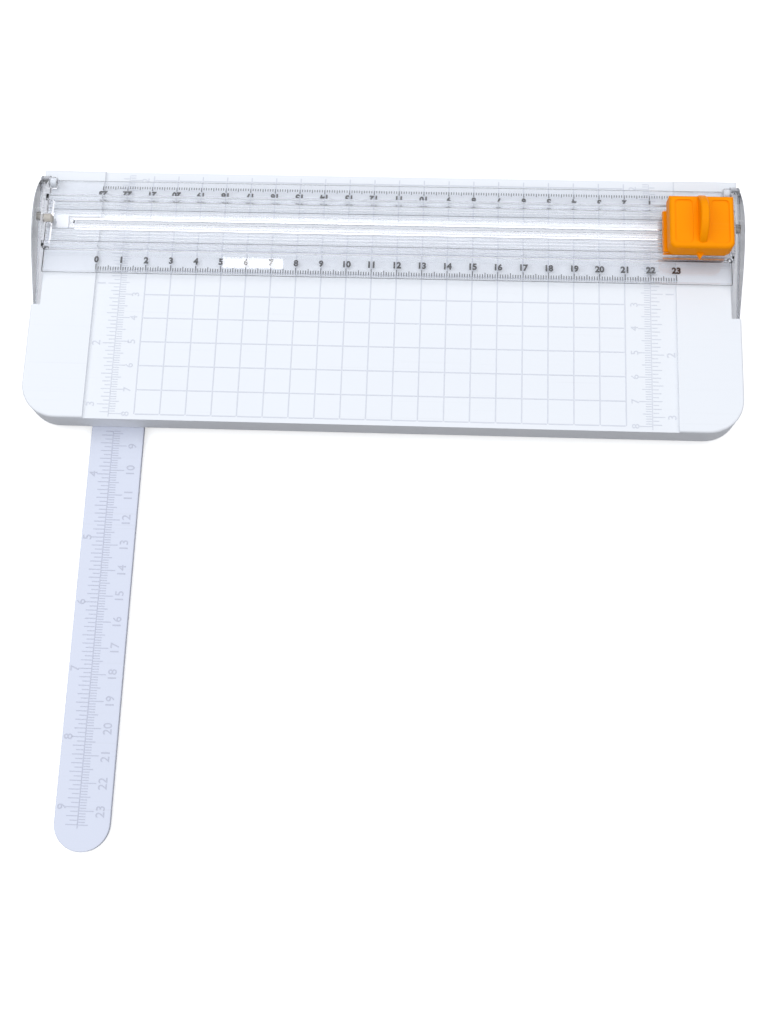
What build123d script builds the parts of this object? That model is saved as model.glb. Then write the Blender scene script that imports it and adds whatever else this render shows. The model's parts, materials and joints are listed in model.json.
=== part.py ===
"""Sliding-blade paper trimmer: a low plastic base with a hinged clear rail, a cutter carriage
that slides along the rail, and a ruler arm that swings out from under the base.

Millimetres, +Z up, +X along the rail, +Y to the rear. The origin is on the surface the trimmer
stands on, under the middle of its bounding box. Sketches are placed on planes whose own origin
lies on the cutting line at the height of the bed.
"""

import os
from math import cos, radians, sin

from build123d import *

# ---- driving dimensions ----------------------------------------------------------------------

# base
scale_span = 230.0  # length of the printed and moulded scales, and of the bed between the pads
end_pad = 25.0  # width of the raised pad at each end
rear_depth = 23.5  # cutting line to the rear edge
front_depth = 82.2  # cutting line to the front edge
wall_height = 10.0  # bed surface down to the bottom of the walls
wall = 2.2
deck = 2.0
pad_rise = 1.0
front_corner = 14.0
rear_corner = 2.5
edge_round = 0.9
rib_thickness = 1.6
rib_height = 1.2

# cutting strip and its groove
strip_length = 256.0
strip_width = 5.4
strip_thickness = 1.5
blade_track_width = 1.2
blade_track_depth = 0.5
strip_gap = 0.1
groove_backing = 1.6  # deck left under the groove

# feet
foot_height = 4.2
foot_radius = 5.5
foot_stem_radius = 2.0
foot_stem_length = 4.0
foot_boss_radius = 6.2
foot_from_end = 16.0
rear_foot_y = 11.5
front_foot_from_edge = 14.2

# clear rail
rail_front = 22.0  # cutting line forward to the front edge of the flange
rail_rear = 18.2
rail_gap = 0.3  # between the pads and the rail
flange = 1.5
channel_offset = -1.45  # middle of the channel, measured from the cutting line
channel_width = 19.7
rib = 1.5
channel_height = 3.6  # ribs above the flange
lip_reach = 0.9
lip_thickness = 1.1
blade_slot_width = 2.0
grip_groove_depth = 0.45
flange_edge = 0.6

# end plates
end_plate = 3.8
plate_proud = 0.3  # how far a plate stands out of the side of the base
plate_gap = 0.4  # between a plate and the notch it drops into
notch_gap = 0.5  # between a plate and the ends of its notch
knuckle_radius = 2.6
plate_reach = 52.0  # hinge axis to the front end of a plate
plate_round = 0.8
tab_length = 2.5
tab_gap = 0.1

# hinge
hinge_from_edge = 1.2  # rear edge of the rail to the hinge axis
hinge_height = 2.5  # above the bed
hinge_pin_radius = 1.2
running_clearance = 0.05
lug_radius = 2.0
lug_thickness = 2.2
lug_gap = 0.3
hood_thickness = 0.8
hood_sweep = (75, 170)  # degrees about the hinge axis from the rear, up and forward

# end bumpers
bumper_radius = 1.75
bumper_height = 4.7
bumper_stick = 3.0  # out of the plate, towards the carriage
bumper_depth = 2.7  # into the plate

# carriage
slide_gap = 0.3  # around the carriage inside the rail
carriage_length = 23.7
carriage_flange = 1.9
cover_length = 24.8
cover_width = 22.0
cover_overhang = 1.8  # right end of the cover past the right end of the carriage
cover_height = 6.5
cover_wall = 1.4
cover_roof = 1.6
press_travel = 2.0
neck_gap = 0.4  # between the neck and the cover, lengthways
neck_side_gap = 1.0
neck_height = 9.8  # above the bed
neck_roof = 1.6
cover_front_corner = 3.0
cover_rear_corner = 1.6
cover_round = 1.4
panel_rim = 1.9
panel_depth = 0.5
panel_round = 0.3
fin_width = 3.2
fin_height = 6.0
fin_round = 0.9
pointer_width = 2.7
pointer_reach = 2.3
pointer_thickness = 1.4

# blade and its holder
blade_length = 7.0
blade_thickness = 0.5
blade_retract = 0.3  # tip above the underside of the rail at rest
blade_bevel = 2.9
blade_grip = 3.4  # blade above the foot of the holder
blade_fit = 0.02
holder_foot_length = 10.0
holder_foot_width = 7.2
holder_foot_height = 2.3
holder_stem_length = 8.0
holder_stem_width = 3.6
holder_gap = 0.3
blade_pin_radius = 0.6

# press springs
spring_radius = 1.3  # to the middle of the wire
spring_wire = 0.175
spring_turns = 8
spring_pocket_radius = 1.7
spring_floor = 4.0  # above the bed
spring_spacing = 15.6

# ruler arm and its pivot
arm_reach = 244.6  # cutting line to the tip of the arm
arm_width = 20.8
arm_thickness = 1.8
arm_from_scale_zero = 11.6  # left end of the scale to the middle of the arm
arm_pivot_y = -25.0
arm_gap = 0.2  # between the walls of the base and the arm
arm_edge = 0.4
pivot_boss_radius = 5.0
shoulder_radius = 2.5
pivot_thread_radius = 1.5
pivot_thread_length = 5.0
pivot_head_radius = 4.5
pivot_head_height = 1.0
washer_radius = 5.2
washer_thickness = 0.5
washer_gap = 0.15

# ---- places that follow ----------------------------------------------------------------------

base_length = scale_span + 2 * end_pad
base_depth = rear_depth + front_depth
base_middle_y = (rear_depth - front_depth) / 2
cut_y = (arm_reach - rear_depth) / 2
bed_z = foot_height + wall_height

plate_outer_x = base_length / 2 + plate_proud
plate_inner_x = plate_outer_x - end_plate
notch_x = plate_inner_x - plate_gap
hinge_y = rail_rear - hinge_from_edge
notch_rear_y = hinge_y + knuckle_radius + notch_gap
notch_front_y = hinge_y - plate_reach - notch_gap

rail_bottom = pad_rise + rail_gap
flange_top = rail_bottom + flange
rib_top = flange_top + channel_height
lip_bottom = rib_top - lip_thickness

bumper_face_x = plate_inner_x - bumper_stick
carriage_right_x = bumper_face_x - slide_gap
carriage_x = carriage_right_x - carriage_length / 2
carriage_travel = 2 * carriage_x
cover_x = carriage_right_x + cover_overhang - cover_length / 2

cover_bottom = rib_top + slide_gap + press_travel
cover_top = cover_bottom + cover_height
cover_ceiling = cover_top - cover_roof
holder_foot_top = neck_height - neck_roof - tab_gap
holder_foot_bottom = holder_foot_top - holder_foot_height
blade_tip = rail_bottom + blade_retract
blade_top = holder_foot_top + blade_grip
blade_pin_z = holder_foot_top + blade_grip * 0.6

arm_x = arm_from_scale_zero - scale_span / 2
arm_top = -wall_height - arm_gap
arm_bottom = arm_top - arm_thickness
pivot_boss_bottom = -wall_height + tab_gap


def level(z):
    """Horizontal plane at a height above the bed, its origin on the cutting line."""
    return Plane(origin=(0, cut_y, bed_z + z))


def section_at(x):
    """Upright plane across the rail, its own x to the rear, its y up, its normal along +X."""
    return Plane(origin=(x, cut_y, bed_z), x_dir=(0, 1, 0), z_dir=(1, 0, 0))


def facing_rear(x, y):
    """Upright plane along the rail, its own x to the left, its y up, its normal to the rear."""
    return Plane(origin=(x, cut_y + y, bed_z), x_dir=(-1, 0, 0), z_dir=(0, 1, 0))


def save(part, name):
    part.label = name
    export_step(part, f"parts/{name}.step")


os.makedirs("parts", exist_ok=True)

# ---- base ------------------------------------------------------------------------------------

foot_x = base_length / 2 - foot_from_end
front_foot_y = -front_depth + front_foot_from_edge
foot_places = {
    "foot_rear_left": (-foot_x, rear_foot_y),
    "foot_rear_right": (foot_x, rear_foot_y),
    "foot_front_left": (-foot_x, front_foot_y),
    "foot_front_right": (foot_x, front_foot_y),
}
notch_middle_y = (notch_rear_y + notch_front_y) / 2
notch_length = notch_rear_y - notch_front_y
notch_middles = [(side * (notch_x + end_pad / 2), notch_middle_y) for side in (-1, 1)]
groove_width = strip_width + 2 * strip_gap
backing_depth = strip_thickness + groove_backing

with BuildSketch() as base_outline:
    with Locations((0, base_middle_y)):
        Rectangle(base_length, base_depth)
    corners = base_outline.vertices().group_by(Axis.Y)
    fillet(corners[0], radius=front_corner)
    fillet(corners[-1], radius=rear_corner)

with BuildPart() as base_shell:
    with BuildSketch(level(-wall_height)):
        add(base_outline.sketch)
    extrude(amount=wall_height + pad_rise)
    fillet(base_shell.faces().sort_by(Axis.Z)[-1].edges(), radius=edge_round)
    # the bed, lower than the pads
    with BuildSketch(level(0)):
        with Locations((0, base_middle_y)):
            Rectangle(scale_span, base_depth + 2 * wall)
    extrude(amount=2 * pad_rise, mode=Mode.SUBTRACT)
    # hollow underside, walled off from the notches of the end plates
    with BuildSketch(level(-wall_height)):
        add(base_outline.sketch)
        offset(amount=-wall, mode=Mode.REPLACE)
        with Locations(*notch_middles):
            Rectangle(end_pad + 2 * wall, notch_length + 2 * wall, mode=Mode.SUBTRACT)
    extrude(amount=wall_height - deck, mode=Mode.SUBTRACT)
    # ribs under the deck, and the thicker band that backs the strip's groove
    with BuildSketch(level(-deck - rib_height)):
        with Locations((0, base_middle_y)):
            with GridLocations(scale_span / 4, 0, 3, 1):
                Rectangle(rib_thickness, base_depth - wall)
        with Locations((0, -front_depth * 0.6)):
            Rectangle(base_length - wall, rib_thickness)
    extrude(amount=rib_height)
    with BuildSketch(level(-backing_depth)):
        Rectangle(strip_length + 2 * wall, groove_width + 2 * wall)
    extrude(amount=backing_depth - deck)
    # bosses for the feet and for the pivot of the ruler arm
    with BuildSketch(level(-wall_height)):
        with Locations(*foot_places.values()):
            Circle(foot_boss_radius)
    extrude(amount=wall_height - deck)
    with BuildSketch(level(-wall_height)):
        with Locations(*foot_places.values()):
            Circle(foot_stem_radius)
    extrude(amount=foot_stem_length, mode=Mode.SUBTRACT)
    with BuildSketch(level(pivot_boss_bottom)):
        with Locations((arm_x, arm_pivot_y)):
            Circle(pivot_boss_radius)
    extrude(amount=-pivot_boss_bottom - deck)
    with BuildSketch(level(pivot_boss_bottom)):
        with Locations((arm_x, arm_pivot_y)):
            Circle(pivot_thread_radius)
    extrude(amount=pivot_thread_length, mode=Mode.SUBTRACT)
    # groove for the cutting strip, open through the pads
    with BuildSketch(level(-strip_thickness)):
        Rectangle(strip_length + 2 * strip_gap, groove_width)
    extrude(amount=strip_thickness + 2 * pad_rise, mode=Mode.SUBTRACT)
    # notches for the end plates
    with BuildSketch(level(-wall_height)):
        with Locations(*notch_middles):
            Rectangle(end_pad, notch_length)
    extrude(amount=wall_height + 2 * pad_rise, mode=Mode.SUBTRACT)
    # hinge lugs beside the notches
    for lug_start in (-notch_x, notch_x - lug_thickness):
        with BuildSketch(section_at(lug_start)):
            with Locations((hinge_y, hinge_height)):
                Circle(lug_radius)
            with Locations((hinge_y, (hinge_height + pad_rise) / 2)):
                Rectangle(2 * lug_radius, hinge_height - pad_rise)
            with Locations((hinge_y, hinge_height)):
                Circle(hinge_pin_radius + running_clearance, mode=Mode.SUBTRACT)
        extrude(amount=lug_thickness)
save(base_shell.part, "base_shell")

with BuildPart() as cutting_strip:
    with BuildSketch(level(-strip_thickness)):
        Rectangle(strip_length, strip_width)
    extrude(amount=strip_thickness)
    with BuildSketch(level(-blade_track_depth)):
        Rectangle(strip_length, blade_track_width)
    extrude(amount=blade_track_depth, mode=Mode.SUBTRACT)
save(cutting_strip.part, "cutting_strip")

for foot_name, foot_place in foot_places.items():
    with BuildPart() as foot:
        with BuildSketch(level(-wall_height - foot_height)):
            with Locations(foot_place):
                Circle(foot_radius)
        extrude(amount=foot_height)
        fillet(foot.edges().group_by(Axis.Z)[0], radius=edge_round)
        with BuildSketch(level(-wall_height)):
            with Locations(foot_place):
                Circle(foot_stem_radius)
        extrude(amount=foot_stem_length)
    save(foot.part, foot_name)

# ---- ruler arm -------------------------------------------------------------------------------

arm_far_y = -arm_reach + arm_width / 2
with BuildPart() as ruler_arm:
    with BuildSketch(level(arm_bottom)):
        with Locations((arm_x, (arm_pivot_y + arm_far_y) / 2)):
            SlotCenterToCenter(arm_pivot_y - arm_far_y, arm_width, rotation=90)
    extrude(amount=arm_thickness)
    fillet(ruler_arm.faces().sort_by(Axis.Z)[-1].edges(), radius=arm_edge)
    with BuildSketch(level(arm_bottom)):
        with Locations((arm_x, arm_pivot_y)):
            Circle(shoulder_radius + running_clearance)
    extrude(amount=arm_thickness, mode=Mode.SUBTRACT)
save(ruler_arm.part, "ruler_arm")

washer_top = arm_bottom - washer_gap
washer_bottom = washer_top - washer_thickness
with BuildPart() as pivot_washer:
    with BuildSketch(level(washer_bottom)):
        with Locations((arm_x, arm_pivot_y)):
            Circle(washer_radius)
            Circle(shoulder_radius, mode=Mode.SUBTRACT)
    extrude(amount=washer_thickness)
save(pivot_washer.part, "arm_pivot_washer")

with BuildPart() as pivot_screw:
    with BuildSketch(level(washer_bottom - pivot_head_height)):
        with Locations((arm_x, arm_pivot_y)):
            Circle(pivot_head_radius)
    extrude(amount=pivot_head_height)
    fillet(pivot_screw.edges().group_by(Axis.Z)[0], radius=pivot_head_height / 2)
    with BuildSketch(level(washer_bottom)):
        with Locations((arm_x, arm_pivot_y)):
            Circle(shoulder_radius)
    extrude(amount=pivot_boss_bottom - washer_bottom)
    with BuildSketch(level(pivot_boss_bottom)):
        with Locations((arm_x, arm_pivot_y)):
            Circle(pivot_thread_radius)
    extrude(amount=pivot_thread_length)
    # cross recess in the head
    with BuildSketch(level(washer_bottom - pivot_head_height)):
        with Locations((arm_x, arm_pivot_y)):
            Rectangle(pivot_head_radius, 0.9)
            Rectangle(0.9, pivot_head_radius)
    extrude(amount=pivot_head_height * 0.7, mode=Mode.SUBTRACT)
save(pivot_screw.part, "arm_pivot_screw")

# ---- clear rail and its ends -----------------------------------------------------------------

lug_room = plate_inner_x - notch_x + lug_thickness + lug_gap
rib_middle = (channel_width + rib) / 2
lip_middle = (channel_width - lip_reach) / 2
# place across the rail and width
grip_grooves = {
    -9.0: 0.4, -7.6: 0.5, -6.2: 0.6, -4.8: 0.4, -3.4: 0.9, 3.8: 1.0, 5.4: 0.4, 7.1: 0.6, 9.2: 0.5,
}
blade_run = carriage_travel + blade_length
slot_middle_x = cover_x - carriage_travel / 2

with BuildPart() as cutting_rail:
    with BuildSketch(section_at(-plate_inner_x)) as rail_section:
        with Locations(((rail_rear - rail_front) / 2, (rail_bottom + flange_top) / 2)):
            Rectangle(rail_front + rail_rear, flange)
        chamfer(rail_section.vertices(), length=flange_edge)
        for side in (-1, 1):
            with Locations((channel_offset + side * rib_middle, (flange_top + rib_top) / 2)):
                Rectangle(rib, channel_height)
            with Locations((channel_offset + side * lip_middle, (lip_bottom + rib_top) / 2)):
                Rectangle(lip_reach, lip_thickness)
        for groove_y, groove_w in grip_grooves.items():
            with Locations((groove_y, rail_bottom + grip_groove_depth / 2)):
                Rectangle(groove_w, grip_groove_depth, mode=Mode.SUBTRACT)
    extrude(amount=2 * plate_inner_x)
    # slot that the blade reaches through
    with BuildSketch(level(rail_bottom)):
        with Locations((slot_middle_x, 0)):
            Rectangle(blade_run + 2 * blade_slot_width, blade_slot_width)
    extrude(amount=flange, mode=Mode.SUBTRACT)
    # rear corners, cut out around the hinge lugs
    with BuildSketch(level(rail_bottom)):
        for side in (-1, 1):
            with Locations((side * (plate_inner_x - lug_room / 2), hinge_y)):
                Rectangle(lug_room, 2 * (lug_radius + lug_gap))
    extrude(amount=flange, mode=Mode.SUBTRACT)
save(cutting_rail.part, "cutting_rail")

plate_front_low = 9.0
plate_front_top = 2.6
plate_low_rear = 5.0
plate_crown = 10.4
front_low_y = hinge_y - (plate_reach**2 - (plate_front_low + hinge_height) ** 2) ** 0.5
front_top_y = hinge_y - (plate_reach**2 - (plate_front_top + hinge_height) ** 2) ** 0.5
front_mid_z = -(plate_front_low + plate_front_top) / 2
front_mid_y = hinge_y - (plate_reach**2 - (hinge_height - front_mid_z) ** 2) ** 0.5
hood_radius = lug_radius + lug_gap + hood_thickness
hood_wedge = [
    (
        hinge_y + 2 * hood_radius * cos(radians(turn)),
        hinge_height + 2 * hood_radius * sin(radians(turn)),
    )
    for turn in (hood_sweep[0], sum(hood_sweep) / 2, hood_sweep[1])
]
tab_spans = [
    (channel_offset - channel_width / 2 + tab_gap, -bumper_radius - tab_gap),
    (bumper_radius + tab_gap, channel_offset + channel_width / 2 - tab_gap),
]

for side, side_name in ((-1, "left"), (1, "right")):
    with BuildPart() as rail_end:
        with BuildSketch(section_at(min(side * plate_outer_x, side * plate_inner_x))):
            with BuildLine():
                Spline(
                    (hinge_y, hinge_height + knuckle_radius),
                    (4.0, plate_crown),
                    (-13.0, 7.6),
                    (-26.0, 1.6),
                    (front_top_y, -plate_front_top),
                )
                ThreePointArc(
                    (front_top_y, -plate_front_top),
                    (front_mid_y, front_mid_z),
                    (front_low_y, -plate_front_low),
                )
                Polyline(
                    (front_low_y, -plate_front_low),
                    (front_low_y + 10, -plate_front_low),
                    (hinge_y - 2 * knuckle_radius, -plate_low_rear),
                    (hinge_y, hinge_height - knuckle_radius),
                )
                ThreePointArc(
                    (hinge_y, hinge_height - knuckle_radius),
                    (hinge_y + knuckle_radius, hinge_height),
                    (hinge_y, hinge_height + knuckle_radius),
                )
            make_face()
        extrude(amount=end_plate)
        outer_face = rail_end.faces().sort_by(Axis.X)[-1 if side > 0 else 0]
        fillet(outer_face.edges(), radius=plate_round)
        # hood over the hinge lug
        with BuildSketch(section_at(side * plate_inner_x)):
            with Locations((hinge_y, hinge_height)):
                Circle(hood_radius)
                Circle(lug_radius + lug_gap, mode=Mode.SUBTRACT)
            with BuildLine():
                Polyline((hinge_y, hinge_height), *hood_wedge, close=True)
            make_face(mode=Mode.INTERSECT)
        extrude(amount=-side * lug_room)
        # bore for the hinge pin, and a blind one for the bumper
        with BuildSketch(section_at(side * plate_inner_x)):
            with Locations((hinge_y, hinge_height)):
                Circle(hinge_pin_radius)
        extrude(amount=side * end_plate, mode=Mode.SUBTRACT)
        with BuildSketch(section_at(side * plate_inner_x)):
            with Locations((0, bumper_height)):
                Circle(bumper_radius)
        extrude(amount=side * bumper_depth, mode=Mode.SUBTRACT)
        # tabs that plug into the channel of the rail
        with BuildSketch(section_at(side * plate_inner_x)):
            for low, high in tab_spans:
                with Locations(((low + high) / 2, (flange_top + lip_bottom) / 2)):
                    Rectangle(high - low, lip_bottom - flange_top - 2 * tab_gap)
        extrude(amount=-side * tab_length)
    save(rail_end.part, f"rail_end_{side_name}")

    pin_inner_x = notch_x - lug_thickness + tab_gap
    with BuildPart() as hinge_pin:
        with BuildSketch(section_at(side * pin_inner_x)):
            with Locations((hinge_y, hinge_height)):
                Circle(hinge_pin_radius)
        extrude(amount=side * (plate_outer_x - plate_proud - pin_inner_x))
        chamfer(hinge_pin.edges().group_by(Axis.X)[0], length=running_clearance * 4)
        chamfer(hinge_pin.edges().group_by(Axis.X)[-1], length=running_clearance * 4)
    save(hinge_pin.part, f"hinge_pin_{side_name}")

    with BuildPart() as bumper:
        with BuildSketch(section_at(side * bumper_face_x)):
            with Locations((0, bumper_height)):
                Circle(bumper_radius)
        extrude(amount=side * (bumper_stick + bumper_depth))
        nose = bumper.faces().sort_by(Axis.X)[0 if side > 0 else -1]
        chamfer(nose.edges(), length=bumper_radius / 4)
    save(bumper.part, f"bumper_{side_name}")

# ---- carriage --------------------------------------------------------------------------------

carriage_bottom = flange_top + slide_gap
carriage_flange_top = carriage_bottom + carriage_flange
waist_top = rib_top - tab_gap
neck_length = cover_length - 2 * (cover_wall + neck_gap)
neck_width = cover_width - 2 * (cover_wall + neck_side_gap)
spring_places = [(cover_x + side * spring_spacing / 2, channel_offset) for side in (-1, 1)]

with BuildPart() as carriage_body:
    with BuildSketch(level(carriage_bottom)):
        with Locations((carriage_x, channel_offset)):
            Rectangle(carriage_length, channel_width - 2 * slide_gap)
    extrude(amount=carriage_flange)
    with BuildSketch(level(carriage_flange_top)):
        with Locations((carriage_x, channel_offset)):
            Rectangle(carriage_length, channel_width - 2 * (lip_reach + slide_gap))
    extrude(amount=waist_top - carriage_flange_top)
    with BuildSketch(level(waist_top)):
        with Locations((cover_x, channel_offset)):
            RectangleRounded(neck_length, neck_width, cover_rear_corner)
    extrude(amount=neck_height - waist_top)
    # well for the foot of the blade holder, and the opening its stem rises through
    with BuildSketch(level(carriage_bottom)):
        with Locations((cover_x, 0)):
            Rectangle(holder_foot_length + 2 * holder_gap, holder_foot_width + 2 * holder_gap)
    extrude(amount=neck_height - neck_roof - carriage_bottom, mode=Mode.SUBTRACT)
    with BuildSketch(level(neck_height - neck_roof)):
        with Locations((cover_x, 0)):
            Rectangle(holder_stem_length + 2 * holder_gap, holder_stem_width + 2 * holder_gap)
    extrude(amount=neck_roof, mode=Mode.SUBTRACT)
    # pockets for the press springs
    with BuildSketch(level(spring_floor)):
        with Locations(*spring_places):
            Circle(spring_pocket_radius)
    extrude(amount=neck_height - spring_floor, mode=Mode.SUBTRACT)
save(carriage_body.part, "carriage_body")

for (spring_x, spring_y), side_name in zip(spring_places, ("left", "right")):
    with BuildPart() as press_spring:
        spring_low = spring_floor + spring_wire * 1.2
        spring_rise = cover_ceiling - spring_floor - spring_wire * 2.4
        with BuildLine(Plane(origin=(spring_x, cut_y + spring_y, bed_z + spring_low))):
            coil = Helix(spring_rise / spring_turns, spring_rise, spring_radius)
        with BuildSketch(Plane(origin=coil @ 0, z_dir=coil % 0)):
            Circle(spring_wire)
        sweep(path=coil)
    save(press_spring.part, f"press_spring_{side_name}")

# ---- press cover and blade -------------------------------------------------------------------

with BuildSketch() as cover_outline:
    with Locations((cover_x, channel_offset)):
        Rectangle(cover_length, cover_width)
    cover_corners = cover_outline.vertices().group_by(Axis.Y)
    fillet(cover_corners[0], radius=cover_front_corner)
    fillet(cover_corners[-1], radius=cover_rear_corner)

panel_width = (cover_length - fin_width) / 2 - 2 * panel_rim
panel_x = (fin_width + panel_width) / 2 + panel_rim
fin_front_y = channel_offset - cover_width / 2 + cover_wall
fin_rear_y = channel_offset + cover_width / 2 + pad_rise / 2
fin_base = cover_top - cover_round
with BuildPart() as finger_fin:
    with BuildSketch(section_at(cover_x - fin_width / 2)):
        with BuildLine():
            ThreePointArc(
                (fin_rear_y, fin_base),
                (channel_offset, cover_top + fin_height),
                (fin_front_y, fin_base),
            )
            Line((fin_front_y, fin_base), (fin_rear_y, fin_base))
        make_face()
    extrude(amount=fin_width)
    fillet(finger_fin.edges().filter_by(GeomType.CIRCLE), radius=fin_round)

with BuildPart() as press_cover:
    with BuildSketch(level(cover_bottom)):
        add(cover_outline.sketch)
    extrude(amount=cover_height)
    fillet(press_cover.faces().sort_by(Axis.Z)[-1].edges(), radius=cover_round)
    with BuildSketch(level(cover_bottom)):
        with Locations((cover_x, channel_offset)):
            Rectangle(cover_length - 2 * cover_wall, cover_width - 2 * cover_wall)
    extrude(amount=cover_height - cover_roof, mode=Mode.SUBTRACT)
    # sunk panels either side of the finger fin
    with BuildSketch(level(cover_top - panel_depth)):
        with Locations((cover_x - panel_x, channel_offset), (cover_x + panel_x, channel_offset)):
            RectangleRounded(panel_width, cover_width - 2 * panel_rim, cover_rear_corner)
    extrude(amount=panel_depth, mode=Mode.SUBTRACT)
    panel_floors = press_cover.faces().filter_by(Axis.Z).group_by(Axis.Z)[-2]
    fillet(panel_floors.edges(), radius=panel_round)
    add(finger_fin.part)
    # pointer over the scale
    pointer_root_y = channel_offset - cover_width / 2
    with BuildSketch(level(cover_bottom)):
        with BuildLine():
            Polyline(
                (cover_x - pointer_width / 2, pointer_root_y + cover_wall / 2),
                (cover_x - pointer_width / 2, pointer_root_y),
                (cover_x, pointer_root_y - pointer_reach),
                (cover_x + pointer_width / 2, pointer_root_y),
                (cover_x + pointer_width / 2, pointer_root_y + cover_wall / 2),
                close=True,
            )
        make_face()
    extrude(amount=pointer_thickness)
save(press_cover.part, "press_cover")

with BuildPart() as blade_holder:
    with BuildSketch(level(holder_foot_bottom)):
        with Locations((cover_x, 0)):
            Rectangle(holder_foot_length, holder_foot_width)
    extrude(amount=holder_foot_height)
    with BuildSketch(level(holder_foot_top)):
        with Locations((cover_x, 0)):
            Rectangle(holder_stem_length, holder_stem_width)
    extrude(amount=cover_ceiling - holder_foot_top)
    with BuildSketch(level(holder_foot_bottom)):
        with Locations((cover_x, 0)):
            Rectangle(blade_length + 2 * blade_fit, blade_thickness + 2 * blade_fit)
    extrude(amount=blade_top + blade_fit - holder_foot_bottom, mode=Mode.SUBTRACT)
    with BuildSketch(facing_rear(cover_x, -holder_stem_width / 2)):
        with Locations((0, blade_pin_z)):
            Circle(blade_pin_radius)
    extrude(amount=holder_stem_width, mode=Mode.SUBTRACT)
save(blade_holder.part, "blade_holder")

with BuildPart() as cutter_blade:
    with BuildSketch(facing_rear(cover_x, -blade_thickness / 2)):
        with BuildLine():
            Polyline(
                (-blade_length / 2, blade_top),
                (-blade_length / 2, blade_tip + blade_bevel),
                (0, blade_tip),
                (blade_length / 2, blade_tip + blade_bevel),
                (blade_length / 2, blade_top),
                close=True,
            )
        make_face()
        with Locations((0, blade_pin_z)):
            Circle(blade_pin_radius, mode=Mode.SUBTRACT)
    extrude(amount=blade_thickness)
save(cutter_blade.part, "cutter_blade")

with BuildPart() as blade_pin:
    with BuildSketch(facing_rear(cover_x, -holder_stem_width / 2)):
        with Locations((0, blade_pin_z)):
            Circle(blade_pin_radius)
    extrude(amount=holder_stem_width)
save(blade_pin.part, "blade_pin")
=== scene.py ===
"""Looks of the sliding-blade paper trimmer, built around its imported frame. Metres throughout."""

import json
import math

import bmesh
import bpy
from mathutils import Matrix, Vector


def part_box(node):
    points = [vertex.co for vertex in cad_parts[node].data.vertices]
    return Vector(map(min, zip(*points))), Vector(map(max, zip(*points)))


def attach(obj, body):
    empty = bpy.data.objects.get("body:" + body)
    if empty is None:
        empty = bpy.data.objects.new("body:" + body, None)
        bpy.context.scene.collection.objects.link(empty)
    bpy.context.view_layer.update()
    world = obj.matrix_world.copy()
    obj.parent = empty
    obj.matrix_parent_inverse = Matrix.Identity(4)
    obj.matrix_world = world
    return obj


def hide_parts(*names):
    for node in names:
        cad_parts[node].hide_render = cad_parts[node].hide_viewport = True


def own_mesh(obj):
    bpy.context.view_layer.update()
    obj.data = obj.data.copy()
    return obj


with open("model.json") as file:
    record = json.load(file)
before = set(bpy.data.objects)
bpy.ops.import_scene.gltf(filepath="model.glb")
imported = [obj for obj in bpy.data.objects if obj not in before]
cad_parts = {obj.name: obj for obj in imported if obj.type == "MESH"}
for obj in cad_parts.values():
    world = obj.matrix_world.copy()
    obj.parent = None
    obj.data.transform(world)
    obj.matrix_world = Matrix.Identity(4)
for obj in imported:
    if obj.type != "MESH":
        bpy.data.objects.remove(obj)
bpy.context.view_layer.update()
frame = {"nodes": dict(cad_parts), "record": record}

MM = 0.001
INCH = 25.4 * MM

# ---- places, read from the frame -------------------------------------------------------------

base_low, base_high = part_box("base_shell")
rail_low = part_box("cutting_rail")[0]
arm_low, arm_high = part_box("ruler_arm")

WALL_HEIGHT = 10 * MM  # bed down to the bottom of the walls
REAR_DEPTH = 23.5 * MM  # cutting line to the rear edge
END_PAD = 25 * MM  # width of the raised pad at each end

bed_z = base_low.z + WALL_HEIGHT
cut_y = base_high.y - REAR_DEPTH
scale_left = base_low.x + END_PAD
scale_right = base_high.x - END_PAD

# ---- moulded and printed scales --------------------------------------------------------------

RELIEF = 0.12 * MM  # height of the moulded lines and numbers
SINK = 0.05 * MM  # how far they reach into the surface they stand on
LINE = 0.5 * MM  # width of a line of the grid
LINE_TAPER = 0.06 * MM  # a line's top is narrower by this on every side
AXIS_END = 1.2 * MM  # how far an axis line runs past its last tick
INK = 0.03 * MM  # thickness of the print
INK_LIFT = 0.01 * MM  # gap between the print and the rail
SEAM = 0.0005 * MM  # vertices nearer than this are one


def finish_piece(shape, name, body, material):
    """Closes a shape's seams and makes it a piece of the trimmer that rides on a body."""
    bmesh.ops.remove_doubles(shape, verts=shape.verts, dist=SEAM)
    mesh = bpy.data.meshes.new(name)
    shape.to_mesh(mesh)
    shape.free()
    mesh.materials.append(material)
    piece = bpy.data.objects.new(name, mesh)
    bpy.context.scene.collection.objects.link(piece)
    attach(piece, body)
    return piece


def add_bar(shape, x, y, z, size, taper=0.0):
    """A bar centred on x and y that stands on z, narrower at its top by taper on every side."""
    middle = z + size[2] / 2
    place = Matrix.Translation((x, y, middle)) @ Matrix.Diagonal((*size, 1))
    made = bmesh.ops.create_cube(shape, size=1, matrix=place)["verts"]
    if taper:
        top = [v for v in made if v.co.z > middle]
        squeeze = ((size[0] - 2 * taper) / size[0], (size[1] - 2 * taper) / size[1], 1)
        bmesh.ops.scale(shape, vec=squeeze, verts=top, space=Matrix.Translation((-x, -y, 0)))


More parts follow.
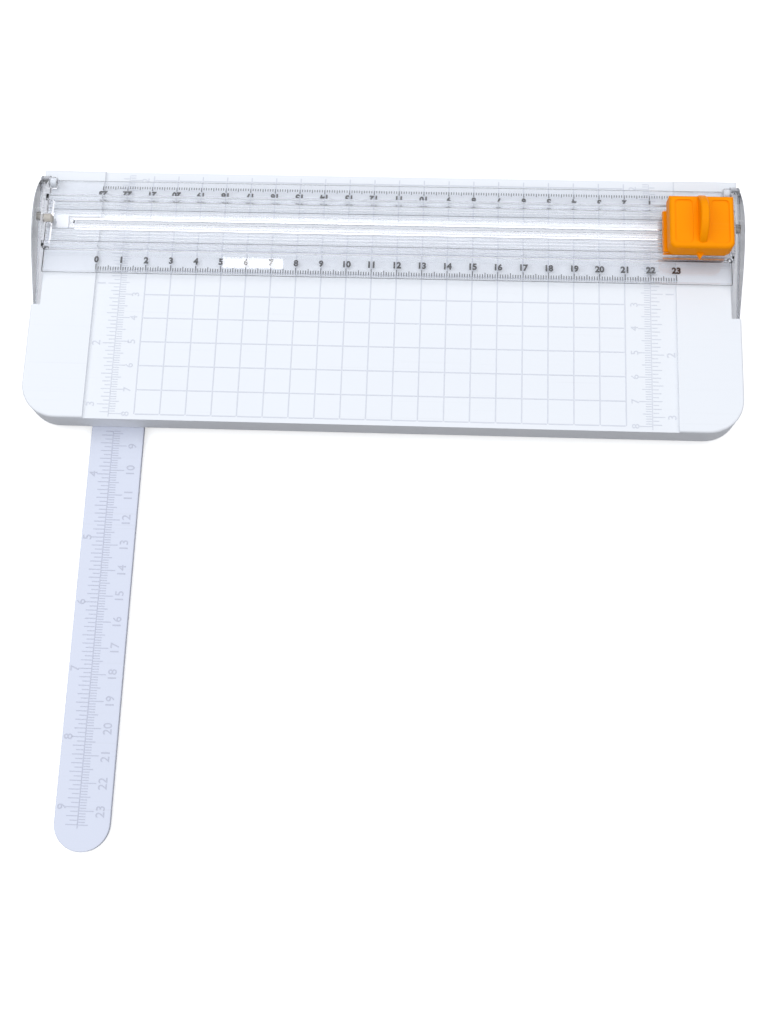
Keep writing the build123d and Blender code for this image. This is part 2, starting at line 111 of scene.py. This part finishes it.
def add_digits(shape, text, x, y, z, height, turn, thickness, weight=0.0):
    """Numbers centred on x and y, standing on z, as tall as height and turned about +Z.

    weight makes the strokes bolder, as a share of the size of the letters.
    """
    curve = bpy.data.curves.new("digits", "FONT")
    curve.body = text
    curve.size = 1
    curve.align_x = "CENTER"
    curve.resolution_u = 3
    curve.offset = weight
    curve.extrude = 0.5
    curve.fill_mode = "BOTH"
    holder = bpy.data.objects.new("digits", curve)
    bpy.context.scene.collection.objects.link(holder)
    bpy.context.view_layer.update()
    solid = bpy.data.meshes.new_from_object(holder)
    heights = [v.co.y for v in solid.vertices]
    middle = (max(heights) + min(heights)) / 2
    size = height / (max(heights) - min(heights))
    solid.transform(
        Matrix.Translation((x, y, z + thickness / 2))
        @ Matrix.Rotation(math.radians(turn), 4, "Z")
        @ Matrix.Diagonal((size, size, thickness, 1))
        @ Matrix.Translation((0, -middle, 0))
    )
    shape.from_mesh(solid)
    bpy.data.objects.remove(holder)
    bpy.data.curves.remove(curve)
    bpy.data.meshes.remove(solid)


# ---- shared effects --------------------------------------------------------------------------


def start_group(name, inputs, outputs):
    """A node group with float inputs {name: default} and outputs {name: socket type}."""
    group = bpy.data.node_groups.new(name, "ShaderNodeTree")
    for label, value in inputs.items():
        socket = group.interface.new_socket(label, in_out="INPUT", socket_type="NodeSocketFloat")
        socket.default_value = value
    for label, kind in outputs.items():
        group.interface.new_socket(label, in_out="OUTPUT", socket_type=kind)
    inner = group.nodes.new("NodeGroupInput")
    outer = group.nodes.new("NodeGroupOutput")
    return group, inner, outer


def ramp(nodes, low, high):
    """A colour ramp from black at low to white at high."""
    node = nodes.new("ShaderNodeValToRGB")
    node.color_ramp.elements[0].position = low
    node.color_ramp.elements[1].position = high
    return node


def moulded_surface():
    """Fine grain, slow flow marks and sparse specks of a moulded plastic surface."""
    group, inner, outer = start_group(
        "moulded_surface",
        {"Grain Size": 2200.0, "Flow Size": 16.0},
        {"Grain": "NodeSocketFloat", "Flow": "NodeSocketFloat", "Specks": "NodeSocketFloat"},
    )
    nodes, links = group.nodes, group.links
    place = nodes.new("ShaderNodeTexCoord")
    grain = nodes.new("ShaderNodeTexNoise")
    grain.inputs["Detail"].default_value = 3
    flow = nodes.new("ShaderNodeTexNoise")
    flow.inputs["Detail"].default_value = 2
    flow.inputs["Distortion"].default_value = 0.6
    cells = nodes.new("ShaderNodeTexVoronoi")
    cells.inputs["Scale"].default_value = 260
    specks = ramp(nodes, 0.035, 0.09)
    specks.color_ramp.elements[0].color = (1, 1, 1, 1)
    specks.color_ramp.elements[1].color = (0, 0, 0, 1)
    for texture in (grain, flow, cells):
        links.new(place.outputs["Object"], texture.inputs["Vector"])
    links.new(inner.outputs["Grain Size"], grain.inputs["Scale"])
    links.new(inner.outputs["Flow Size"], flow.inputs["Scale"])
    links.new(cells.outputs["Distance"], specks.inputs["Fac"])
    links.new(grain.outputs["Fac"], outer.inputs["Grain"])
    links.new(flow.outputs["Fac"], outer.inputs["Flow"])
    links.new(specks.outputs["Color"], outer.inputs["Specks"])
    return group


def handling_marks():
    """Thin rub marks that run along the object, broken up into patches."""
    group, inner, outer = start_group(
        "handling_marks", {"Length": 9.0, "Fineness": 900.0}, {"Marks": "NodeSocketFloat"}
    )
    nodes, links = group.nodes, group.links
    place = nodes.new("ShaderNodeTexCoord")
    spread = nodes.new("ShaderNodeCombineXYZ")
    stretch = nodes.new("ShaderNodeVectorMath")
    stretch.operation = "MULTIPLY"
    streaks = nodes.new("ShaderNodeTexNoise")
    streaks.inputs["Scale"].default_value = 1
    streaks.inputs["Detail"].default_value = 2
    thin = ramp(nodes, 0.60, 0.72)
    patches = nodes.new("ShaderNodeTexNoise")
    patches.inputs["Scale"].default_value = 26
    worn = ramp(nodes, 0.42, 0.62)
    both = nodes.new("ShaderNodeMath")
    both.operation = "MULTIPLY"
    links.new(inner.outputs["Length"], spread.inputs["X"])
    links.new(inner.outputs["Fineness"], spread.inputs["Y"])
    links.new(inner.outputs["Fineness"], spread.inputs["Z"])
    links.new(place.outputs["Object"], stretch.inputs[0])
    links.new(spread.outputs["Vector"], stretch.inputs[1])
    links.new(stretch.outputs["Vector"], streaks.inputs["Vector"])
    links.new(place.outputs["Object"], patches.inputs["Vector"])
    links.new(streaks.outputs["Fac"], thin.inputs["Fac"])
    links.new(patches.outputs["Fac"], worn.inputs["Fac"])
    links.new(thin.outputs["Color"], both.inputs[0])
    links.new(worn.outputs["Color"], both.inputs[1])
    links.new(both.outputs["Value"], outer.inputs["Marks"])
    return group


MOULDED_SURFACE = moulded_surface()
HANDLING_MARKS = handling_marks()

# ---- materials -------------------------------------------------------------------------------

# sockets of a Mix node that carry its colours
MIX_LOW = 6
MIX_HIGH = 7
MIX_RESULT = 2

MARKS_SHARE = 0.22  # how much of their colour the rub marks show
MARKS_DEPTH = 0.003 * MM


class Finish:
    """A material with its Principled BSDF and short calls to wire the shared effects to it."""

    def __init__(self, name, **values):
        self.material = bpy.data.materials.new(name)
        self.material.use_nodes = True
        self.nodes = self.material.node_tree.nodes
        self.links = self.material.node_tree.links
        self.shader = self.nodes["Principled BSDF"]
        self.output = self.nodes["Material Output"]
        for socket, value in values.items():
            self.shader.inputs[socket.replace("_", " ")].default_value = value

    def effect(self, group, **values):
        """Places a shared effect in the material, with values for its named inputs."""
        node = self.nodes.new("ShaderNodeGroup")
        node.node_tree = group
        for socket, value in values.items():
            node.inputs[socket.replace("_", " ")].default_value = value
        return node

    def colour_between(self, mask, low, high):
        """Base colour that runs from low, a colour or an output, to the colour high."""
        mix = self.nodes.new("ShaderNodeMix")
        mix.data_type = "RGBA"
        self.links.new(mask, mix.inputs["Factor"])
        if isinstance(low, tuple):
            mix.inputs[MIX_LOW].default_value = (*low, 1)
        else:
            self.links.new(low, mix.inputs[MIX_LOW])
        mix.inputs[MIX_HIGH].default_value = (*high, 1)
        self.links.new(mix.outputs[MIX_RESULT], self.shader.inputs["Base Color"])
        return mix.outputs[MIX_RESULT]

    def roughness_between(self, mask, low, high):
        """Roughness that runs from low to high with a mask."""
        span = self.nodes.new("ShaderNodeMapRange")
        span.inputs["To Min"].default_value = low
        span.inputs["To Max"].default_value = high
        self.links.new(mask, span.inputs["Value"])
        self.links.new(span.outputs["Result"], self.shader.inputs["Roughness"])

    def bump(self, *heights):
        """Bumps from pairs of a height output and its depth in metres."""
        normal = None
        for height, depth in heights:
            node = self.nodes.new("ShaderNodeBump")
            node.inputs["Strength"].default_value = 1
            node.inputs["Distance"].default_value = depth
            self.links.new(height, node.inputs["Height"])
            if normal is not None:
                self.links.new(normal, node.inputs["Normal"])
            normal = node.outputs["Normal"]
        self.links.new(normal, self.shader.inputs["Normal"])


def moulded_plastic(name, light, dark, roughness, grain_depth, marks_colour, **values):
    """Opaque moulded plastic: slow colour drift, fine grain and faint rub marks."""
    finish = Finish(name, **values)
    surface = finish.effect(MOULDED_SURFACE)
    marks = finish.effect(HANDLING_MARKS)
    drift = finish.colour_between(surface.outputs["Flow"], light, dark)
    softened = finish.nodes.new("ShaderNodeMath")
    softened.operation = "MULTIPLY"
    softened.inputs[1].default_value = MARKS_SHARE
    finish.links.new(marks.outputs["Marks"], softened.inputs[0])
    finish.colour_between(softened.outputs["Value"], drift, marks_colour)
    finish.roughness_between(surface.outputs["Grain"], roughness - 0.07, roughness + 0.09)
    finish.bump((surface.outputs["Grain"], grain_depth), (marks.outputs["Marks"], -MARKS_DEPTH))
    return finish.material


def clear_plastic():
    """Polished clear polystyrene. Shadow rays pass through it, so what lies under it is lit."""
    finish = Finish(
        "clear_polystyrene",
        Base_Color=(0.975, 0.978, 0.992, 1),
        Transmission_Weight=1.0,
        IOR=1.5,
        Roughness=0.0,
    )
    rays = finish.nodes.new("ShaderNodeLightPath")
    passing = finish.nodes.new("ShaderNodeBsdfTransparent")
    passing.inputs["Color"].default_value = (0.965, 0.97, 0.98, 1)
    either = finish.nodes.new("ShaderNodeMixShader")
    finish.links.new(rays.outputs["Is Shadow Ray"], either.inputs["Fac"])
    finish.links.new(finish.shader.outputs["BSDF"], either.inputs[1])
    finish.links.new(passing.outputs["BSDF"], either.inputs[2])
    finish.links.new(either.outputs["Shader"], finish.output.inputs["Surface"])
    return finish.material


def metal(name, colour, dark, roughness, fineness):
    """Bare or plated steel with fine drawn lines."""
    finish = Finish(name, Metallic=1.0)
    lines = finish.effect(HANDLING_MARKS, Length=60.0, Fineness=fineness)
    surface = finish.effect(MOULDED_SURFACE, Grain_Size=3500.0, Flow_Size=140.0)
    finish.colour_between(surface.outputs["Flow"], colour, dark)
    finish.roughness_between(lines.outputs["Marks"], roughness, roughness + 0.2)
    finish.bump((lines.outputs["Marks"], 0.004 * MM), (surface.outputs["Grain"], 0.002 * MM))
    return finish.material


def rubber(name, light, dark):
    """Dull rubber with a fine grain and darker specks."""
    finish = Finish(name, Specular_IOR_Level=0.35)
    surface = finish.effect(MOULDED_SURFACE, Grain_Size=1500.0, Flow_Size=90.0)
    drift = finish.colour_between(surface.outputs["Flow"], light, dark)
    finish.colour_between(surface.outputs["Specks"], drift, [c * 0.7 for c in light])
    finish.roughness_between(surface.outputs["Grain"], 0.6, 0.85)
    finish.bump((surface.outputs["Grain"], 0.03 * MM))
    return finish.material


WHITE_PLASTIC = moulded_plastic(
    "white_abs", (0.83, 0.85, 0.88), (0.80, 0.82, 0.86), 0.44, 0.012 * MM, (0.70, 0.71, 0.74)
)
ARM_PLASTIC = moulded_plastic(
    "arm_abs", (0.68, 0.71, 0.82), (0.65, 0.68, 0.78), 0.42, 0.014 * MM, (0.58, 0.60, 0.66)
)
# The bed's lines and numbers are moulded in the bed's own white. The greyer colour they get here
# is painted shade, standing in for the shade their low relief gathers.
BED_LINE_PAINTED_SHADE = moulded_plastic(
    "bed_line_painted_shade", (0.68, 0.70, 0.76), (0.65, 0.67, 0.73), 0.5, 0.01 * MM, (0.6, 0.6, 0.65)
)
# The arm's lines and numbers are moulded in the arm's own colour. The darker colour they get here
# is painted shade, standing in for the shade their low relief gathers.
ARM_LINE_PAINTED_SHADE = moulded_plastic(
    "arm_line_painted_shade", (0.54, 0.56, 0.66), (0.51, 0.53, 0.62), 0.5, 0.01 * MM, (0.5, 0.5, 0.55)
)
STRIP_PLASTIC = moulded_plastic(
    "strip_polyethylene", (0.80, 0.81, 0.84), (0.76, 0.77, 0.80), 0.55, 0.01 * MM, (0.5, 0.5, 0.52)
)
HOLDER_PLASTIC = moulded_plastic(
    "holder_acetal", (0.03, 0.03, 0.033), (0.045, 0.045, 0.05), 0.4, 0.01 * MM, (0.12, 0.12, 0.12)
)
ORANGE_PLASTIC = moulded_plastic(
    "orange_abs", (1.0, 0.33, 0.0), (0.98, 0.29, 0.0), 0.34, 0.006 * MM, (1.0, 0.45, 0.08),
    Specular_IOR_Level=0.05,
)
BLACK_INK = moulded_plastic(
    "black_ink", (0.012, 0.012, 0.016), (0.03, 0.03, 0.035), 0.5, 0.004 * MM, (0.10, 0.10, 0.11)
)
CLEAR_PLASTIC = clear_plastic()
PLATED_STEEL = metal("plated_steel", (0.72, 0.73, 0.75), (0.60, 0.60, 0.62), 0.28, 700.0)
BLADE_STEEL = metal("blade_steel", (0.80, 0.81, 0.83), (0.70, 0.71, 0.74), 0.18, 2200.0)
SPRING_STEEL = metal("spring_steel", (0.55, 0.56, 0.60), (0.42, 0.43, 0.46), 0.3, 1500.0)
FOOT_RUBBER = rubber("foot_rubber", (0.34, 0.35, 0.37), (0.30, 0.31, 0.33))
BUMPER_RUBBER = rubber("bumper_rubber", (0.60, 0.56, 0.50), (0.52, 0.48, 0.43))

FINISH_OF_SLOT = {
    "white_plastic": WHITE_PLASTIC,
    "arm_plastic": ARM_PLASTIC,
    "strip_plastic": STRIP_PLASTIC,
    "foot_rubber": FOOT_RUBBER,
    "bumper_rubber": BUMPER_RUBBER,
    "plated_steel": PLATED_STEEL,
    "spring_steel": SPRING_STEEL,
    "blade_steel": BLADE_STEEL,
    "holder_plastic": HOLDER_PLASTIC,
    "orange_plastic": ORANGE_PLASTIC,
    "clear_plastic": CLEAR_PLASTIC,
}
for subpart in frame["record"]["subparts"]:
    node = frame["nodes"][subpart["node"]]
    for material_slot in node.material_slots:
        material_slot.material = FINISH_OF_SLOT[subpart["material_slot"]]

# ---- scales moulded in the bed ---------------------------------------------------------------

GROOVE_HALF = 3.2 * MM  # half of what is left clear about the cutting groove
GRID_INSET = 20 * MM  # pad to the first grid line
AXIS_INSET = 10 * MM  # pad to the line that the ticks stand on
GRID_COLUMNS = 20
BED_ROWS = (-2, -1, 1, 2, 3, 4, 5, 6, 7, 8)  # centimetres in front of the cutting line
BED_REAR = 22.0 * MM  # cutting line back to the end of the lines
BED_FRONT = 81.3 * MM  # cutting line forward to their other end
TICK_START = 0.3 * MM  # gap between an axis line and its ticks
TICK = 0.26 * MM  # width of a tick
DIGIT = 2.9 * MM
INCH_DIGIT = 3.2 * MM
CENTIMETRE_INSET = 16.5 * MM  # pad to the centimetre numbers
INCH_INSET = 2.5 * MM  # pad to the inch numbers
LINE_BREAK = 0.35 * MM  # the cross lines stop just short of the long ones
METRIC_STEPS = (10, 5, 1)  # millimetres in each kind of tick, the longest first
INCH_STEPS = (16, 8, 4, 2, 1)  # sixteenths of an inch in each kind of tick
BED_METRIC_TICKS = (4.7 * MM, 3.4 * MM, 2.2 * MM)
BED_INCH_TICKS = (4.5 * MM, 4.0 * MM, 3.6 * MM, 3.2 * MM, 2.2 * MM)


def tick_length(count, steps, lengths):
    """Length of the tick at a count of the finest step."""
    for step, length in zip(steps, lengths):
        if count % step == 0:
            return length


def add_ruler(shape, axis_x, side, reach, z, metric_ticks, inch_ticks, gap=None):
    """Centimetre ticks on one side of an axis line and inch ticks on the other.

    side is +1 where centimetres are on the right; reach is the pair of distances in front of
    the cutting line between which there are ticks; gap is a half width left clear about it.
    """
    near, far = reach
    scales = (
        (MM, METRIC_STEPS, metric_ticks, side),
        (INCH / 16, INCH_STEPS, inch_ticks, -side),
    )
    for pitch, steps, lengths, way in scales:
        for count in range(math.ceil(near / pitch), math.floor(far / pitch) + 1):
            distance = count * pitch
            if gap and abs(distance) < gap:
                continue
            length = tick_length(count, steps, lengths)
            middle = axis_x + way * (TICK_START + length / 2)
            add_bar(shape, middle, cut_y - distance, z, (length, TICK, RELIEF + SINK))
    axis_front, axis_rear = cut_y - far - AXIS_END, cut_y - near
    stretches = [(axis_front, axis_rear)]
    if gap:
        stretches = [(axis_front, cut_y - gap), (cut_y + gap, axis_rear)]
    for low, high in stretches:
        add_bar(shape, axis_x, (low + high) / 2, z, (TICK, high - low, RELIEF + SINK))


bed_base = bed_z - SINK
for side, side_name, pad_x in ((1, "left", scale_left), (-1, "right", scale_right)):
    axis_x = pad_x + side * AXIS_INSET
    ruler = bmesh.new()
    add_ruler(ruler, axis_x, side, (-BED_REAR, BED_FRONT - AXIS_END), bed_base,
              BED_METRIC_TICKS, BED_INCH_TICKS, gap=GROOVE_HALF)
    finish_piece(ruler, f"bed_ruler_{side_name}", "base", BED_LINE_PAINTED_SHADE)
    numbers = bmesh.new()
    for centimetre in BED_ROWS:
        add_digits(numbers, str(abs(centimetre)), pad_x + side * CENTIMETRE_INSET,
                   cut_y - centimetre * 10 * MM, bed_base, DIGIT, 90, RELIEF + SINK)
    for inch in (1, 2, 3):
        add_digits(numbers, str(inch), pad_x + side * INCH_INSET, cut_y - inch * INCH,
                   bed_base, INCH_DIGIT, 90, RELIEF + SINK)
    finish_piece(numbers, f"bed_numbers_{side_name}", "base", BED_LINE_PAINTED_SHADE)

grid = bmesh.new()
grid_columns = [scale_left + GRID_INSET + count * 10 * MM for count in range(GRID_COLUMNS)]
for column in grid_columns:
    for low, high in ((-BED_FRONT + 1.4 * MM, -GROOVE_HALF), (GROOVE_HALF, BED_REAR)):
        add_bar(grid, column, cut_y + (low + high) / 2, bed_base,
                (LINE, high - low, RELIEF + SINK), taper=LINE_TAPER)
for row in BED_ROWS:
    for left, right in zip(grid_columns, grid_columns[1:]):
        add_bar(grid, (left + right) / 2, cut_y - row * 10 * MM, bed_base,
                (right - left - 2 * LINE_BREAK, LINE, RELIEF + SINK), taper=LINE_TAPER)
finish_piece(grid, "bed_grid", "base", BED_LINE_PAINTED_SHADE)

# ---- scale moulded in the ruler arm ----------------------------------------------------------

ARM_AXIS = 8.8 * MM  # left edge of the arm to its axis line
ARM_ROOT = 84 * MM  # cutting line to the first and the last tick
ARM_LAST = 235 * MM
ARM_CENTIMETRES = range(9, 24)
ARM_INCHES = range(4, 10)
ARM_CENTIMETRE_INSET = 8.0 * MM  # axis line to the numbers on each side
ARM_INCH_INSET = 6.5 * MM
ARM_METRIC_TICKS = (5.3 * MM, 3.6 * MM, 2.4 * MM)
ARM_INCH_TICKS = (4.7 * MM, 4.4 * MM, 4.1 * MM, 4.1 * MM, 2.7 * MM)
arm_base = arm_high.z - SINK
arm_axis_x = arm_low.x + ARM_AXIS
arm_ruler = bmesh.new()
add_ruler(arm_ruler, arm_axis_x, 1, (ARM_ROOT, ARM_LAST), arm_base,
          ARM_METRIC_TICKS, ARM_INCH_TICKS)
finish_piece(arm_ruler, "arm_ruler", "arm", ARM_LINE_PAINTED_SHADE)
arm_numbers = bmesh.new()
for centimetre in ARM_CENTIMETRES:
    add_digits(arm_numbers, str(centimetre), arm_axis_x + ARM_CENTIMETRE_INSET,
               cut_y - centimetre * 10 * MM, arm_base, INCH_DIGIT, 90, RELIEF + SINK)
for inch in ARM_INCHES:
    add_digits(arm_numbers, str(inch), arm_axis_x - ARM_INCH_INSET, cut_y - inch * INCH,
               arm_base, INCH_DIGIT, 90, RELIEF + SINK)
finish_piece(arm_numbers, "arm_numbers", "arm", ARM_LINE_PAINTED_SHADE)

# ---- scales printed on the rail --------------------------------------------------------------

PRINT_TICK = 0.30 * MM
PRINT_DIGIT = 2.8 * MM
PRINT_WEIGHT = 0.045
print_z = rail_low.z - INK_LIFT - INK
SPAN_CM = round((scale_right - scale_left) / (10 * MM))
# name: (distance of the ticks' outer ends behind the cutting line, way inwards, tick lengths
# for a centimetre, half and millimetre, distance of the numbers, turn)
PRINTS = {
    "front": (-20.6 * MM, 1, (2.5 * MM, 2.0 * MM, 1.4 * MM), -16.1 * MM, 0),
    "rear": (16.1 * MM, -1, (1.8 * MM, 1.4 * MM, 1.0 * MM), 12.6 * MM, 180),
}
for print_name, (outer, inwards, lengths, digit_place, turn) in PRINTS.items():
    ticks = bmesh.new()
    for count in range(SPAN_CM * 10 + 1):
        length = tick_length(count, METRIC_STEPS, lengths)
        add_bar(ticks, scale_left + count * MM, cut_y + outer + inwards * length / 2, print_z,
                (PRINT_TICK, length, INK))
    finish_piece(ticks, f"rail_ticks_{print_name}", "rail", BLACK_INK)
    numbers = bmesh.new()
    for count in range(SPAN_CM + 1):
        shown = count if turn == 0 else SPAN_CM - count
        add_digits(numbers, str(shown), scale_left + count * 10 * MM, cut_y + digit_place,
                   print_z, PRINT_DIGIT, turn, INK, weight=PRINT_WEIGHT)
    finish_piece(numbers, f"rail_numbers_{print_name}", "rail", BLACK_INK)

# ---- press springs, which ride on the carriage; the real ones shorten as the cover is pressed ---

for side_name in ("left", "right"):
    node_name = f"press_spring_{side_name}"
    coil = bmesh.new()
    coil.from_mesh(frame["nodes"][node_name].data)
    bmesh.ops.remove_doubles(coil, verts=coil.verts, dist=0.002 * MM)
    for face in coil.faces:
        face.smooth = True
    spring = finish_piece(coil, f"coil_{side_name}", "carriage", SPRING_STEEL)
    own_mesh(spring)
    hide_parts(node_name)

# ---- floor, light and camera -----------------------------------------------------------------


def add_floor():
    """A white floor that bounces less light back at the object than it shows the camera."""
    shape = bmesh.new()
    bmesh.ops.create_grid(shape, x_segments=1, y_segments=1, size=6)
    mesh = bpy.data.meshes.new("floor")
    shape.to_mesh(mesh)
    shape.free()
    floor = bpy.data.objects.new("floor", mesh)
    bpy.context.scene.collection.objects.link(floor)
    finish = Finish("floor", Roughness=0.9, Specular_IOR_Level=0.1)
    finish.shader.inputs["Emission Color"].default_value = (1, 1, 1, 1)
    rays = finish.nodes.new("ShaderNodeLightPath")
    glow = finish.nodes.new("ShaderNodeMath")
    glow.operation = "MULTIPLY"
    glow.inputs[1].default_value = 0.5
    finish.links.new(rays.outputs["Is Camera Ray"], glow.inputs[0])
    finish.links.new(glow.outputs["Value"], finish.shader.inputs["Emission Strength"])
    seen = finish.colour_between(rays.outputs["Is Camera Ray"], (0.78, 0.78, 0.8), (0.9, 0.9, 0.9))
    finish.colour_between(rays.outputs["Is Diffuse Ray"], seen, (0.14, 0.13, 0.12))
    mesh.materials.append(finish.material)


def add_softbox(name, place, size, power, colour, aim=None):
    """A rectangular light that points straight down, or at a place."""
    light = bpy.data.lights.new(name, "AREA")
    light.shape = "RECTANGLE"
    light.size, light.size_y = size
    light.energy = power
    light.color = colour
    holder = bpy.data.objects.new(name, light)
    holder.location = place
    if aim is not None:
        direction = Vector(aim) - Vector(place)
        holder.rotation_euler = direction.to_track_quat("-Z", "Y").to_euler()
    bpy.context.scene.collection.objects.link(holder)


def add_world():
    """Bright above and darker towards the horizon, and plain white where it is seen itself."""
    world = bpy.data.worlds.new("studio")
    bpy.context.scene.world = world
    world.use_nodes = True
    nodes, links = world.node_tree.nodes, world.node_tree.links
    place = nodes.new("ShaderNodeTexCoord")
    parts = nodes.new("ShaderNodeSeparateXYZ")
    rays = nodes.new("ShaderNodeLightPath")
    seen = nodes.new("ShaderNodeMix")
    seen.data_type = "RGBA"
    seen.inputs[MIX_HIGH].default_value = (1, 1, 1, 1)
    shade = ramp(nodes, 0.05, 0.75)
    shade.color_ramp.elements[0].color = (0.04, 0.04, 0.06, 1)
    shade.color_ramp.elements[1].color = (0.88, 0.90, 0.93, 1)
    links.new(place.outputs["Generated"], parts.inputs["Vector"])
    links.new(parts.outputs["Z"], shade.inputs["Fac"])
    links.new(rays.outputs["Is Camera Ray"], seen.inputs["Factor"])
    links.new(shade.outputs["Color"], seen.inputs[MIX_LOW])
    links.new(seen.outputs[MIX_RESULT], nodes["Background"].inputs["Color"])
    nodes["Background"].inputs["Strength"].default_value = 1.39


def add_camera():
    """Stands in front of the trimmer and looks down on it."""
    lens = bpy.data.cameras.new("camera")
    lens.lens = 42.98
    lens.sensor_width = 36
    lens.clip_start = 0.01
    camera = bpy.data.objects.new("camera", lens)
    camera.location = (0.02027, -0.11697, 0.46228)
    camera.rotation_euler = [math.radians(turn) for turn in (13.978, 1.645, 2.015)]
    bpy.context.scene.collection.objects.link(camera)
    bpy.context.scene.camera = camera


add_floor()
add_softbox("window", (-0.9, 0.35, 0.75), (0.5, 0.5), 1.8, (0.90, 0.95, 1.0), aim=(0, 0, 0))
add_softbox("lamp", (-0.197, 0.516, 0.9076), (0.072, 0.014), 0.016, (1.0, 0.98, 0.95))
add_softbox("tube", (-0.04, 0.566, 0.907), (0.9, 0.018), 0.16, (1.0, 1.0, 1.0))
add_world()
add_camera()
bpy.context.scene.view_settings.view_transform = "Standard"
